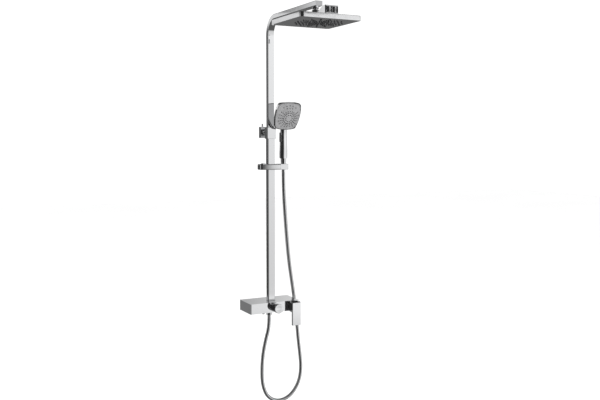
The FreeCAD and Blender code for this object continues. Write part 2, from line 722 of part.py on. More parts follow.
BALL = ("0", "-head_y", "ball_z")
node("arm_nipple", fuse(
    rod("Z", HEAD, "12.5", "ball_z + 14", f"{ARM_Z} - inner_deep / 2"),
    rod("Z", HEAD, "6.5", "ball_z + 5", "ball_z + 15"),
    ball(*BALL, "ball_radius"),
))
race_inner = "ball_radius + 0.08"
race_outer = "ball_radius + race_thick"
node("ball_race", common(
    cut(ball(*BALL, race_outer), ball(*BALL, race_inner)),
    block("-20", "20", "-head_y - 20", "-head_y + 20", "ball_z - 5", "ball_z + 5"),
))
node("ball_nut", cut(
    rounded(rod("Z", HEAD, "13.6", f"{HEAD_TOP} + 1", "ball_z + 10"), 0.8,
            lambda edge: edge.Curve.TypeId == "Part::GeomCircle"),
    ball(*BALL, "ball_radius + race_thick + 0.08"),
    rod("Z", HEAD, "ball_radius + race_thick + 0.08", HEAD_TOP, "ball_z"),
    rod("Z", HEAD, "9.4", "ball_z", "ball_z + 11"),
))
node("ball_seat", cut(
    rod("Z", HEAD, "ball_radius + race_thick", "ball_z - 13", "ball_z - 6"),
    ball(*BALL, "ball_radius + race_thick + 0.08"),
    rod("Z", HEAD, "5.5", "ball_z - 14", "ball_z"),
))

# ---------------------------------------------------------------- spray selector

SELECTOR_FRONT = "(-head_y - head_size / 2)"
SELECTOR_FLAT = 14
SELECTOR_TAIL = 5


def build_selector_housing():
    """The selector's housing on the head's front edge: tall in front, its roof curving down behind."""
    front = -SIZES["head_y"] - SIZES["head_size"] / 2
    base = SIZES["head_low"] + SIZES["head_thick"]
    top = base + SIZES["selector_high"]
    back = front + SIZES["selector_long"]
    left = -SIZES["selector_wide"] / 2
    points = [V(left, front, base), V(left, front, top), V(left, front + SELECTOR_FLAT, top),
              V(left, back, base + SELECTOR_TAIL), V(left, back, base)]
    hump = V(left, front + SELECTOR_FLAT + 20, top - 7)
    edges = [
        Part.LineSegment(points[0], points[1]).toShape(),
        Part.LineSegment(points[1], points[2]).toShape(),
        Part.Arc(points[2], hump, points[3]).toShape(),
        Part.LineSegment(points[3], points[4]).toShape(),
        Part.LineSegment(points[4], points[0]).toShape(),
    ]
    outline = doc.addObject("Part::Feature", "SelectorOutline")
    outline.Shape = Part.Face(Part.Wire(edges))
    solid = doc.addObject("Part::Extrusion", "SelectorBody")
    solid.Base = outline
    solid.DirMode = "Custom"
    solid.Dir = V(1, 0, 0)
    bind(solid, "LengthFwd", "selector_wide")
    solid.Solid = True
    recess = block("-selector_wide / 2 + 2.5", "selector_wide / 2 - 2.5", f"{SELECTOR_FRONT} - 1",
                   f"{SELECTOR_FRONT} + 16", f"{HEAD_TOP} + 3", f"{HEAD_TOP} + selector_high - 4")
    front_edges = rounded(solid, 3, lambda edge: along("z")(edge) and abs(edge.CenterOfMass.y - front) < 0.1)
    return cut(front_edges, recess)


def build_selector_button(side):
    """One push button: an upright barrel front on a square stem."""
    x = f"{side} * (button_radius + 1)"
    low, high = f"{HEAD_TOP} + 3.4", f"{HEAD_TOP} + selector_high - 4.4"
    barrel = rounded(rod("Z", (x, f"{SELECTOR_FRONT} + 7"), "button_radius", low, high), 1.5,
                     lambda edge: edge.Curve.TypeId == "Part::GeomCircle")
    behind = block(f"{x} - 12", f"{x} + 12", f"{SELECTOR_FRONT} + 9", f"{SELECTOR_FRONT} + 30",
                   f"{low} - 2", f"{high} + 2")
    return cut(barrel, behind)


node("selector_housing", build_selector_housing())
node("selector_button_left", build_selector_button(-1))
node("selector_button_right", build_selector_button(1))

# ---------------------------------------------------------------- slider and holder

SLIDER_LOW = "slider_z - slider_high / 2"
SLIDER_HIGH = "slider_z + slider_high / 2"
SLIDER_FRONT = "-column_y - slider_deep / 2"
SLIDER_BACK = "-column_y + slider_deep / 2"


def build_slider():
    """The bar that rides on the outer tube, rounded at its free end."""
    bar = block("-slider_left", "slider_right", SLIDER_FRONT, SLIDER_BACK, SLIDER_LOW, SLIDER_HIGH)
    left = -SIZES["slider_left"]
    bar = rounded(bar, 9, lambda edge: along("z")(edge) and abs(edge.CenterOfMass.x - left) < 0.1)
    bar = rounded(bar, 1, lambda edge: edge.BoundBox.ZLength < 0.01)
    wide, deep = "(outer_wide / 2 + liner_wall + 0.1)", "(outer_deep / 2 + liner_wall + 0.1)"
    return cut(
        bar,
        block(f"-{wide}", wide, f"{MIDDLE} - {deep}", f"{MIDDLE} + {deep}", f"{SLIDER_LOW} - 1",
              f"{SLIDER_HIGH} + 1"),
        rod("X", (MIDDLE, "slider_z"), "4.05", "slider_right - 12", "slider_right + 1"),
        block("-slider_left + 13", "-slider_left + 27", f"{MIDDLE} - 9", f"{MIDDLE} + 9", "slider_z + 2",
              f"{SLIDER_HIGH} + 1"),
    )


node("slider_body", build_slider())
liner_x, liner_y = "(outer_wide / 2 + liner_wall)", "(outer_deep / 2 + liner_wall)"
node("slider_liner", cut(
    block(f"-{liner_x}", liner_x, f"{MIDDLE} - {liner_y}", f"{MIDDLE} + {liner_y}", f"{SLIDER_LOW} + 0.5",
          f"{SLIDER_HIGH} - 0.5"),
    block("-outer_wide / 2 - 0.1", "outer_wide / 2 + 0.1", f"{MIDDLE} - outer_deep / 2 - 0.1",
          f"{MIDDLE} + outer_deep / 2 + 0.1", f"{SLIDER_LOW} - 1", f"{SLIDER_HIGH} + 1"),
))
node("slider_button", rounded(
    block("-slider_left + 13.3", "-slider_left + 26.7", f"{MIDDLE} - 8.7", f"{MIDDLE} + 8.7", "slider_z + 5.5",
          f"{SLIDER_HIGH} + 3"), 1.2, lambda edge: edge.BoundBox.ZMax > SIZES["slider_z"] + 14.9))
node("holder_pivot_pin", rod("X", (MIDDLE, "slider_z"), "4", "slider_right - 11.5", "holder_left + 6.5"))

HANDSET = ("handset_x", "-handset_y")


def build_holder():
    """The turning socket at the bar's end: a tapered seat, open on its outer side for the hose."""
    cup = block("holder_left", "holder_right", SLIDER_FRONT, SLIDER_BACK, SLIDER_LOW, SLIDER_HIGH)
    right = SIZES["holder_right"]
    cup = rounded(cup, 6, lambda edge: along("z")(edge) and abs(edge.CenterOfMass.x - right) < 0.1)
    cup = rounded(cup, 1, lambda edge: edge.BoundBox.ZLength < 0.01)
    slope = "(cone_large - cone_small) / (cone_high - cone_low)"
    low_radius = f"cone_small + 0.3 - {slope} * 3"
    high_radius = f"cone_small + 0.3 + {slope} * 25"
    return cut(
        cup,
        taper("Z", HANDSET, low_radius, high_radius, "cone_low - 3", "cone_low + 25"),
        block("handset_x", "holder_right + 1", "-handset_y - hose_radius - 0.8", "-handset_y + hose_radius + 0.8",
              f"{SLIDER_LOW} - 1", f"{SLIDER_HIGH} + 1"),
        rod("X", (MIDDLE, "slider_z"), "4.05", "holder_left - 1", "holder_left + 7"),
    )


node("handset_holder", build_holder())

# ---------------------------------------------------------------- handset

# The head's outline in its own plane: a wide top, full sides and a narrower foot.
FACE_TOP = (50, 55, 61)
FACE_SIDE = (56.5, 3)
FACE_FOOT = (45, -55, -61)
FACE_ROUND = 9


def face_solid(name, shrink, low, high):
    """A slab with the handset head's outline, shrunk all round, between two heights in its own frame."""
    top_x, top_corner, top_y = FACE_TOP
    foot_x, foot_corner, foot_y = FACE_FOOT
    corners = [V(-top_x + shrink, top_corner - shrink, low), V(top_x - shrink, top_corner - shrink, low),
               V(foot_x - shrink, foot_corner + shrink, low), V(-foot_x + shrink, foot_corner + shrink, low)]
    middles = [V(0, top_y - shrink, low), V(FACE_SIDE[0] - shrink, FACE_SIDE[1], low),
               V(0, foot_y + shrink, low), V(-FACE_SIDE[0] + shrink, FACE_SIDE[1], low)]
    edges = [Part.Arc(a, m, b).toShape() for a, m, b in zip(corners, middles, corners[1:] + corners[:1])]
    outline = doc.addObject("Part::Feature", name + "Outline")
    outline.Shape = Part.Face(Part.Wire(edges))
    slab = doc.addObject("Part::Extrusion", name)
    slab.Base = outline
    slab.DirMode = "Custom"
    slab.Dir = V(0, 0, 1)
    slab.LengthFwd = high - low
    slab.Solid = True
    return rounded(slab, FACE_ROUND - shrink, along("z"))


def tilt_face(item):
    """Stand an object made in the face's frame (+Z out of the face) in its place on the handset."""
    turn = FreeCAD.Rotation(V(1, 0, 0), 90 + SIZES["face_tilt"])
    item.Placement = FreeCAD.Placement(V(), turn)
    locate(item, "face_x", "-face_y", "face_z")
    return item


def build_handle():
    """The handle: elliptical sections from the cone nut up into the back of the head."""
    stations = [
        # centre y, centre z, half width, half depth, lean forward in degrees
        (-85, 626.2, 17.2, 10.5, 0),
        (-85, 660, 17.2, 11, 0),
        (-85, 700, 15.8, 10.5, 0),
        (-86.5, 740, 14.4, 9.5, 10),
        (-96, 772, 13.6, 8.5, 30),
        (-114, 795, 13.6, 7, 50),
    ]
    sections = []
    for y, z, half_wide, half_deep, lean in stations:
        oval = doc.addObject("Part::Ellipse", "Oval")
        oval.MajorRadius = half_wide
        oval.MinorRadius = half_deep
        oval.Placement = FreeCAD.Placement(V(SIZES["handset_x"], y, z), FreeCAD.Rotation(V(1, 0, 0), lean))
        sections.append(oval)
    doc.recompute()
    handle = doc.addObject("Part::Loft", "Handle")
    handle.Sections = sections
    handle.Solid = True
    handle.Ruled = False
    return handle


def build_handset_shell():
    """Handle and head in one moulding, with a seat for the spray plate and one for the mode button."""
    thick = SIZES["handset_thick"]
    slab = face_solid("HeadSlab", 0, -thick, 0)
    slab = rounded(slab, 5, lambda edge: edge.BoundBox.ZMax < -thick + 0.01)
    seat = face_solid("HeadSeat", 1.5, -SIZES["face_thick"] - 1, 2)
    head = tilt_face(cut(slab, seat))
    grown = fuse(head, build_handle())
    thread = rod("Z", HANDSET, "7", "cone_high - 14", "cone_high + 4")
    waterway = rod("Z", HANDSET, "4.5", "cone_high - 15", "cone_high + 60")
    pocket = block("handset_x - 22", "handset_x - 9.5", "-handset_y - 7.2", "-handset_y + 7.2", "694.8", "735.2")
    return cut(fuse(grown, thread), waterway, pocket)


SPRAY_CENTRE = V(4, -6, 0)
SPRAY_RINGS = ((15, 10), (24, 20))
SPOKE_RADII = (31, 38.5, 46)
SPOKES = 20
CREST = ((0, 49), (-14, 46), (14, 46), (-27, 40), (28, 40), (-11, 36.5), (1, 37.5), (13, 36.5))
CREST_HALF_ANGLE = math.radians(40)
SPRAY_EDGE = 7
CROWN = 8
CROWN_REACH = 58
CROWN_SPHERE = (CROWN_REACH ** 2 + CROWN ** 2) / (2 * CROWN)


def crown_height(at):
    """How far the domed plate rises above its own rim at a place on it."""
    return math.sqrt(CROWN_SPHERE ** 2 - at.x ** 2 - at.y ** 2) - (CROWN_SPHERE - CROWN)


def on_plate(at):
    """Whether a nozzle there keeps clear of the plate's rim."""
    half = FACE_SIDE[0] - (FACE_SIDE[0] - FACE_FOOT[0]) * max(0, -at.y) / -FACE_FOOT[1]
    return abs(at.x) < half - SPRAY_EDGE and FACE_FOOT[1] + SPRAY_EDGE < at.y


def spray_places():
    """Nozzle centres on the handset face: two rings, spokes round them, and a crest of eight above."""
    places = []
    for radius, count in SPRAY_RINGS:
        for step in range(count):
            angle = 2 * math.pi * step / count
            places.append(SPRAY_CENTRE + V(radius * math.cos(angle), radius * math.sin(angle), 0))
    for radius in SPOKE_RADII:
        for step in range(SPOKES):
            angle = 2 * math.pi * step / SPOKES
            at = SPRAY_CENTRE + V(radius * math.cos(angle), radius * math.sin(angle), 0)
            under_crest = radius > SPOKE_RADII[0] and abs(angle - math.pi / 2) < CREST_HALF_ANGLE
            if on_plate(at) and not under_crest:
                places.append(at)
    return places + [V(x, y, 0) for x, y in CREST]


def build_handset_face():
    """The grey spray plate let into the head, slightly domed."""
    low, rim = -SIZES["face_thick"] - 0.9, -0.4
    dome = ball("0", "0", rim + CROWN - CROWN_SPHERE, CROWN_SPHERE)
    plate = common(face_solid("SprayPlate", 1.8, low, rim + CROWN), dome)
    drill = doc.addObject("Part::Feature", "SprayDrills")
    drill.Shape = Part.makeCompound([Part.makeCylinder(1.5, 16, at + V(0, 0, -6)) for at in spray_places()])
    return tilt_face(cut(plate, drill))


def build_handset_nozzles():
    """Silicone nozzles, one through each hole of the spray plate, standing just proud of the dome."""
    item = doc.addObject("Part::Feature", "SprayNozzles")
    bottom = -SIZES["face_thick"] - 0.8
    item.Shape = Part.makeCompound([Part.makeCone(1.3, 1.1, crown_height(at) + 0.6 - bottom, at + V(0, 0, bottom))
                                    for at in spray_places()])
    return tilt_face(item)


node("handset_shell", build_handset_shell())
node("handset_face", build_handset_face())
node("handset_nozzles", build_handset_nozzles())
node("handset_mode_button", rounded(
    block("handset_x - 18.4", "handset_x - 12", "-handset_y - 7", "-handset_y + 7", "695", "735"), 2.6,
    along("x")))
node("handset_cone_nut", cut(
    taper("Z", HANDSET, "cone_small", "cone_large", "cone_low", "cone_high"),
    rod("Z", HANDSET, "7.05", "cone_high - 17", "cone_high + 1"),
    rod("Z", HANDSET, "4.5", "cone_low - 1", "cone_high"),
))
node("handset_hose_washer", cut(
    rod("Z", HANDSET, "7", "cone_high - 16.8", "cone_high - 14.1"),
    rod("Z", HANDSET, "4.6", "cone_high - 18", "cone_high - 13"),
))

# ---------------------------------------------------------------- hose

# Route of the hose: down from the handset, past the shelf's right end, round a loop and up to the outlet.
HOSE_ROUTE = [
    (56, -85, 580), (56, -85, 530), (60, -82, 463), (68, -76, 389), (78, -67, 314), (90, -56, 238),
    (105, -42, 164), (122, -29, 94), (136, -22, 26), (146, -20, -44), (153, -20, -112),
    (158, -22, -178), (165, -25, -243), (169, -29, -309), (154, -34, -372), (108, -40, -424),
    (47, -46, -436), (-6, -51, -408), (-31, -54, -349), (-35, -57, -280), (-30, -58, -213),
    (-17, -58, -152), (0, -58, -97), (0, -58, -44),
]
ARC_SHARE = 0.45


def build_hose():
    """The hose as straight runs joined by tangent arcs, swept with a round section."""
    points = [V(*at) for at in HOSE_ROUTE]
    edges, start, length = [], points[0], 0.0
    for before, corner, after in zip(points, points[1:], points[2:]):
        run_in, run_out = corner - before, after - corner
        turn = run_in.getAngle(run_out)
        reach = ARC_SHARE * min(run_in.Length, run_out.Length)
        radius = reach / math.tan(turn / 2)
        run_in.normalize()
        run_out.normalize()
        arc_start, arc_end = corner - run_in * reach, corner + run_out * reach
        bisector = (run_out - run_in).normalize()
        centre = corner + bisector * (radius / math.cos(turn / 2))
        middle = centre - bisector * radius
        edges.append(Part.LineSegment(start, arc_start).toShape())
        edges.append(Part.Arc(arc_start, middle, arc_end).toShape())
        length += (arc_start - start).Length + radius * turn
        start = arc_end
        print(f"hose radius {radius:7.1f} at {tuple(corner)}")
    edges.append(Part.LineSegment(start, points[-1]).toShape())
    length += (points[-1] - start).Length
    path = Part.Wire(edges)
    first = (points[1] - points[0]).normalize()
    section = Part.Wire(Part.Circle(points[0], first, SIZES["hose_radius"]).toShape())
    tube = path.makePipeShell([section], True, False)
    expected = math.pi * SIZES["hose_radius"] ** 2 * length
    print(f"hose length {length:.1f} volume ratio {tube.Volume / expected:.4f}")
    item = doc.addObject("Part::Feature", "ShowerHose")
    item.Shape = tube
    return item


node("shower_hose", build_hose())

# ---------------------------------------------------------------- checks and export

doc.recompute()
for item in doc.Objects:
    if "Invalid" in item.State or "Error" in item.State:
        raise RuntimeError(f"{item.Name} ({item.Label}) failed: {item.State}")
for name, item in NODES.items():
    if item.Shape.isNull() or not item.Shape.isValid() or not item.Shape.Solids:
        raise RuntimeError(name + " has no valid shape")

os.makedirs("parts", exist_ok=True)
for name, item in NODES.items():
    item.Shape.exportStep(f"parts/{name}.step")
    print(f"{name:24s} solids {len(item.Shape.Solids):3d} volume {item.Shape.Volume / 1000:9.2f} cm3")
print(len(NODES), "nodes")
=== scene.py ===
"""Looks of the shower column: camera, light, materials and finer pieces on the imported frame."""

import json
import math

import bmesh
import bpy
from mathutils import Matrix, Vector


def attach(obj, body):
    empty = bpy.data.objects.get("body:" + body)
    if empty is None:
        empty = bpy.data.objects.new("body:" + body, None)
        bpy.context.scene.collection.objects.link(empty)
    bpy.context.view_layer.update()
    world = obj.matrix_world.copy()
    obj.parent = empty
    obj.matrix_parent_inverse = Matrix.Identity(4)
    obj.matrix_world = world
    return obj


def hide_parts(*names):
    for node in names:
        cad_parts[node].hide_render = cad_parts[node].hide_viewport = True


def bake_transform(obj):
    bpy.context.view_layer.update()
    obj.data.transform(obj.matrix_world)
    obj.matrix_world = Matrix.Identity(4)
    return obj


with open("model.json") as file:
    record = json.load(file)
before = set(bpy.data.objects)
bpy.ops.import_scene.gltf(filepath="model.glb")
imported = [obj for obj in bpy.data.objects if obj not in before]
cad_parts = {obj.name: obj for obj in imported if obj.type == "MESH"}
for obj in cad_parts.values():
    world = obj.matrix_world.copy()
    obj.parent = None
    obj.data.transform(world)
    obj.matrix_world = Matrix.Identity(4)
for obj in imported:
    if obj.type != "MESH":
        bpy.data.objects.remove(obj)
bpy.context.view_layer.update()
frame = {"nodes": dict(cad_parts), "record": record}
SCENE = bpy.context.scene
MM = 0.001

# ---------------------------------------------------------------- camera

CAMERA_AT = Vector((-1.4082, -3.1102, 0.7120))
CAMERA_YAW = math.radians(27.025)
CAMERA_PITCH = math.radians(-4.470)
CAMERA_LENS, CAMERA_SENSOR = 47.62, 36.0
CAMERA_CLIP = (0.05, 60.0)


def aimed(name, data, at, look):
    """A camera or light at a place, looking along a direction."""
    made = bpy.data.objects.new(name, data)
    made.location = at
    made.rotation_mode = "QUATERNION"
    made.rotation_quaternion = look.to_track_quat("-Z", "Y")
    SCENE.collection.objects.link(made)
    return made


def make_camera():
    """A camera in front of the column's left side, level with the slider."""
    data = bpy.data.cameras.new("camera")
    data.lens, data.sensor_width = CAMERA_LENS, CAMERA_SENSOR
    data.clip_start, data.clip_end = CAMERA_CLIP
    level = math.cos(CAMERA_PITCH)
    look = Vector(
        (math.sin(CAMERA_YAW) * level, math.cos(CAMERA_YAW) * level, math.sin(CAMERA_PITCH))
    )
    SCENE.camera = aimed("camera", data, CAMERA_AT, look)


make_camera()

# ---------------------------------------------------------------- node helpers


class Nodes:
    """A short way to write a node tree."""

    def __init__(self, tree):
        """Start from an empty tree."""
        self.tree = tree
        self.tree.nodes.clear()

    def add(self, kind, inputs=(), **settings):
        """A node with its settings and its inputs, each a plain value or another node's socket."""
        made = self.tree.nodes.new(kind)
        for key, value in settings.items():
            setattr(made, key, value)
        for key, value in dict(inputs).items():
            if isinstance(value, bpy.types.NodeSocket):
                self.tree.links.new(value, made.inputs[key])
            else:
                made.inputs[key].default_value = value
        return made

    def math(self, operation, a, b):
        """One arithmetic step."""
        return self.add("ShaderNodeMath", {0: a, 1: b}, operation=operation).outputs[0]

    def noise(self, vector, scale, detail=3.0, rough=0.5):
        """Noise from 0 to 1."""
        inputs = {"Vector": vector, "Scale": scale, "Detail": detail, "Roughness": rough}
        return self.add("ShaderNodeTexNoise", inputs).outputs["Fac"]

    def span(self, value, low, high, out_low, out_high, kind="SMOOTHSTEP"):
        """A value brought from one span to another, and held at its ends."""
        inputs = {"Value": value, "From Min": low, "From Max": high}
        inputs |= {"To Min": out_low, "To Max": out_high}
        return self.add("ShaderNodeMapRange", inputs, interpolation_type=kind).outputs["Result"]

    def scaled(self, colour, share):
        """A colour times a share."""
        inputs = {0: colour, "Scale": share}
        return self.add("ShaderNodeVectorMath", inputs, operation="SCALE").outputs[0]


def start_material(name):
    """A material, the writer of its emptied node tree and its object coordinates."""
    material = bpy.data.materials.new(name)
    material.use_nodes = True
    n = Nodes(material.node_tree)
    return material, n, n.add("ShaderNodeTexCoord").outputs["Object"]


def end_material(n, inputs):
    """A principled shader with these inputs, as the surface."""
    shader = n.add("ShaderNodeBsdfPrincipled", inputs)
    n.add("ShaderNodeOutputMaterial", {"Surface": shader.outputs[0]})


# ---------------------------------------------------------------- light


# What the metal mirrors: greys of the studio by bearing in degrees. 0 is straight out of the wall,
# positive to the right.
FRONT = ((-138, 0.04), (-130, 0.50), (-92, 0.52), (-84, 0.03), (10, 0.02), (19, 0.62), (27, 0.84),
         (60, 0.86), (88, 0.80), (104, 0.15), (120, 0.08))
SHELF_RING = ((-180, 0.18), (-165, 0.18), (-148, 0.17), *FRONT, (146, 0.14), (180, 0.18))
LOWER_RING = ((-180, 0.12), (-165, 0.06), (-148, 0.05), *FRONT, (138, 0.14), (180, 0.15))
MIDDLE_RING = ((-180, 0.30), (-168, 0.13), (-148, 0.08), *FRONT, (146, 0.70), (152.5, 0.66),
               (157.5, 0.30), (165, 0.24), (180, 0.30))
HEAD_RING = ((-180, 0.40), (-160, 0.55), (-155, 0.70), (-149, 0.78), *FRONT, (146, 0.60),
             (180, 0.40))
ARM_LEFT = ((-180, 0.25), (-160, 0.26), (-154.5, 0.29), (-152.6, 0.38), (-151.3, 0.85),
            (-148.5, 0.85))
ARM_RIGHT = ((146, 0.76), (152.5, 0.72), (157.5, 0.40), (165, 0.30), (180, 0.25))
SELECTOR_RING = (*ARM_LEFT, (-138, 0.03), (19, 0.03), (60, 0.12), (95, 0.10), (120, 0.05),
                 *ARM_RIGHT)
ARM_RING = (*ARM_LEFT, (-138, 0.03), (10, 0.02), (19, 0.36), (27, 0.50), (60, 0.55), (95, 0.40),
            (120, 0.05), *ARM_RIGHT)

# Where one ring gives way to the next, by the height part of the mirrored ray's direction.
LOWER_TO_MIDDLE = (-0.015, 0.015)
SHELF_TO_COLUMN = (-0.200, -0.194)
UPPER_RINGS = (
    ((0.130, 0.142), HEAD_RING),
    ((0.1520, 0.1535), SELECTOR_RING),
    ((0.1575, 0.1585), ARM_RING),
)
# The column and the shelf grow lighter upwards: two heights and their two shares of the ring.
COLUMN_FADE = (-0.20, 0.12, 0.85, 1.14)
SHELF_FADE = (-0.236, -0.214, 0.84, 1.06)

# One grey above the rings, with a lighter band for the tilted tops, and one grey below them.
OVERHEAD, OVERHEAD_FROM = 0.025, (0.30, 0.42)
CEILING, CEILING_FROM, CEILING_TO = 0.40, (0.58, 0.64), (0.76, 0.82)
UNDERFOOT, UNDERFOOT_TO = 0.10, (-0.55, -0.33)

BACKDROP_STRENGTH = 1.12
LIGHT_AT, LIGHT_SIDE, LIGHT_WATTS = Vector((0.4, -1.2, 3.4)), 4.0, 80.0
FLOOR_Z, FLOOR_HALF, FLOOR_CELLS = -0.70, 14.0, 8
FLOOR_TONE, FLOOR_CLOUD = (0.95, 0.965), 0.6
# The middle part of a noise's values, where nearly all of them lie.
NOISE_SPAN = (0.3, 0.7)
FLOOR_ROUGH = 0.8


def make_world():
    """A white studio; what the metal mirrors is a set of grey and black panels."""
    world = bpy.data.worlds.new("studio")
    world.use_nodes = True
    SCENE.world = world
    n = Nodes(world.node_tree)
    way = n.add("ShaderNodeTexCoord").outputs["Generated"]
    x, y, z = n.add("ShaderNodeSeparateXYZ", {"Vector": way}).outputs
    turned = n.math("ARCTAN2", x, n.math("MULTIPLY", y, -1.0))
    around = n.span(turned, -math.pi, math.pi, 0.0, 1.0, "LINEAR")

    def grey(tone):
        """A grey as a colour."""
        return (tone, tone, tone, 1.0)

    def ring(stops):
        """A ring of greys by bearing."""
        ramp = n.add("ShaderNodeValToRGB", {"Fac": around})
        elements = ramp.color_ramp.elements
        while len(elements) < len(stops):
            elements.new(0.5)
        for element, (angle, tone) in zip(elements, stops):
            element.position = (angle + 180) / 360
            element.color = grey(tone)
        return ramp.outputs["Color"]

    def above(band):
        """0 below a band of heights, 1 above it."""
        return n.span(z, *band, 0.0, 1.0)

    def below(band):
        """1 below a band of heights, 0 above it."""
        return n.span(z, *band, 1.0, 0.0)

    def blend(share, first, second):
        """The first colour, or the second one by a share."""
        inputs = {"Factor": share, 6: first, 7: second}
        return n.add("ShaderNodeMix", inputs, data_type="RGBA").outputs[2]

    tone = blend(above(LOWER_TO_MIDDLE), ring(LOWER_RING), ring(MIDDLE_RING))
    tone = n.scaled(tone, n.span(z, *COLUMN_FADE, "LINEAR"))
    shelf = n.scaled(ring(SHELF_RING), n.span(z, *SHELF_FADE, "LINEAR"))
    tone = blend(above(SHELF_TO_COLUMN), shelf, tone)
    for band, stops in UPPER_RINGS:
        tone = blend(above(band), tone, ring(stops))
    tone = blend(above(OVERHEAD_FROM), tone, grey(OVERHEAD))
    ceiling = n.math("MULTIPLY", above(CEILING_FROM), below(CEILING_TO))
    tone = blend(ceiling, tone, grey(CEILING))
    tone = blend(below(UNDERFOOT_TO), tone, grey(UNDERFOOT))
    room = n.add("ShaderNodeBackground", {"Color": tone, "Strength": 1.0})
    white = n.add("ShaderNodeBackground", {"Color": grey(1.0), "Strength": BACKDROP_STRENGTH})
    mirrored = n.add("ShaderNodeLightPath").outputs["Is Glossy Ray"]
    inputs = {0: mirrored, 1: white.outputs[0], 2: room.outputs[0]}
    mixed = n.add("ShaderNodeMixShader", inputs)
    n.add("ShaderNodeOutputWorld", {"Surface": mixed.outputs[0]})


def make_light():
    """A wide soft light overhead, which the metal doesn't mirror."""
    data = bpy.data.lights.new("top_light", "AREA")
    data.shape = "RECTANGLE"
    data.size = data.size_y = LIGHT_SIDE
    data.energy = LIGHT_WATTS
    aimed("top_light", data, LIGHT_AT, -LIGHT_AT).visible_glossy = False


def make_floor():
    """A plain pale floor under the hose's lowest point."""
    bm = bmesh.new()
    bmesh.ops.create_grid(bm, x_segments=FLOOR_CELLS, y_segments=FLOOR_CELLS, size=FLOOR_HALF)
    mesh = bpy.data.meshes.new("floor")
    bm.to_mesh(mesh)
    bm.free()
    floor = bpy.data.objects.new("floor", mesh)
    floor.location = (0.0, 0.0, FLOOR_Z)
    material, n, where = start_material("floor_paint")
    shade = n.span(n.noise(where, FLOOR_CLOUD), *NOISE_SPAN, *FLOOR_TONE)
    tint = n.add("ShaderNodeCombineColor", {0: shade, 1: shade, 2: shade})
    end_material(n, {"Base Color": tint.outputs[0], "Roughness": FLOOR_ROUGH})
    mesh.materials.append(material)
    SCENE.collection.objects.link(floor)
    floor.visible_glossy = False


SCENE.view_settings.view_transform = "Standard"
make_world()
make_floor()
make_light()

# ---------------------------------------------------------------- materials


# The parts of a noise's values that count as a cloud or a streak.
CLOUD_SPAN, STREAK_SPAN = (0.45, 0.75), (0.35, 0.7)
CLOUD_SCALE, STREAK_STRETCH, STREAK_FAINT = 22.0, (160.0, 160.0, 12.0), 0.3
RIPPLE_SCALE, RIPPLE_HEIGHT = 35.0, 0.001
TONE_SCALE, TONE_SPAN = 40.0, (0.88, 1.08)
ROUGH_SCALE, ROUGH_SPAN = 90.0, (0.85, 1.15)
GRAIN_HEIGHT = 0.0002


def bumped(n, strength, distance, height):
    """A normal from a bump."""
    inputs = {"Strength": strength, "Distance": distance, "Height": height}
    return n.add("ShaderNodeBump", inputs).outputs[0]


def chrome(name, tint, rough, smudge, wave):
    """Polished plating: a clear mirror with faint cloudy wipe marks and a very shallow ripple."""
    material, n, where = start_material(name)
    cloud = n.span(n.noise(where, CLOUD_SCALE, 5.0, 0.6), *CLOUD_SPAN, 0.0, 1.0)
    stretched = n.add("ShaderNodeMapping", {"Vector": where, "Scale": STREAK_STRETCH}).outputs[0]
    streak = n.span(n.noise(stretched, 1.0, 4.0), *STREAK_SPAN, STREAK_FAINT, 1.0)
    mark = n.math("MULTIPLY", cloud, streak)
    inputs = {
        "Base Color": (*tint, 1.0),
        "Metallic": 1.0,
        "Roughness": n.math("ADD", rough, n.math("MULTIPLY", mark, smudge)),
        "Normal": bumped(n, wave, RIPPLE_HEIGHT, n.noise(where, RIPPLE_SCALE, 2.0)),
    }
    end_material(n, inputs)
    return material


def plain(name, tint, metallic, rough, grain, scale):
    """A matt or satin surface with a fine grain and slight tone changes."""
    material, n, where = start_material(name)
    tone = n.span(n.noise(where, TONE_SCALE, 4.0), *NOISE_SPAN, *TONE_SPAN)
    roughs = [rough * share for share in ROUGH_SPAN]
    inputs = {
        "Base Color": n.scaled(tint, tone),
        "Metallic": metallic,
        "Roughness": n.span(n.noise(where, ROUGH_SCALE), *NOISE_SPAN, *roughs),
        "Normal": bumped(n, grain, GRAIN_HEIGHT, n.noise(where, scale, 3.0)),
    }
    end_material(n, inputs)
    return material


PLATING, HOSE_PLATING = (0.90, 0.905, 0.915), (0.86, 0.865, 0.875)
MATERIALS = {
    "chrome": chrome("polished_chrome", PLATING, 0.03, 0.07, 0.010),
    "plated_plastic": chrome("plated_chrome", PLATING, 0.035, 0.07, 0.014),
    "hose_chrome": chrome("hose_chrome", HOSE_PLATING, 0.09, 0.08, 0.010),
    "brass": plain("machined_brass", (0.72, 0.52, 0.25), 1.0, 0.28, 0.2, 900.0),
    "steel": plain("plain_steel", (0.58, 0.58, 0.60), 1.0, 0.30, 0.2, 900.0),
    "rubber": plain("black_rubber", (0.020, 0.020, 0.021), 0.0, 0.62, 0.5, 1200.0),
    "silicone": plain("nozzle_silicone", (0.050, 0.050, 0.052), 0.0, 0.50, 0.3, 900.0),
    "white_plastic": plain("white_acetal", (0.80, 0.80, 0.78), 0.0, 0.42, 0.2, 700.0),
    "grey_plastic": plain("satin_grey", (0.32, 0.32, 0.325), 0.0, 0.32, 0.2, 800.0),
}
NODE_SLOT = {row["node"]: row["material_slot"] for row in frame["record"]["subparts"]}
for node_name, node in frame["nodes"].items():
    node.data.materials.clear()
    node.data.materials.append(MATERIALS[NODE_SLOT[node_name]])

# ---------------------------------------------------------------- mesh helpers

CREASE, SOFT_CREASE, CARVED_CREASE = 35.0, 50.0, 28.0


def shift(x, y, z=0.0):
    """A move in millimetres."""
    return Matrix.Translation((x * MM, y * MM, z * MM))


def steps_round(count):
    """Equal steps of one full turn, as angles."""
    return [2 * math.pi * k / count for k in range(count)]


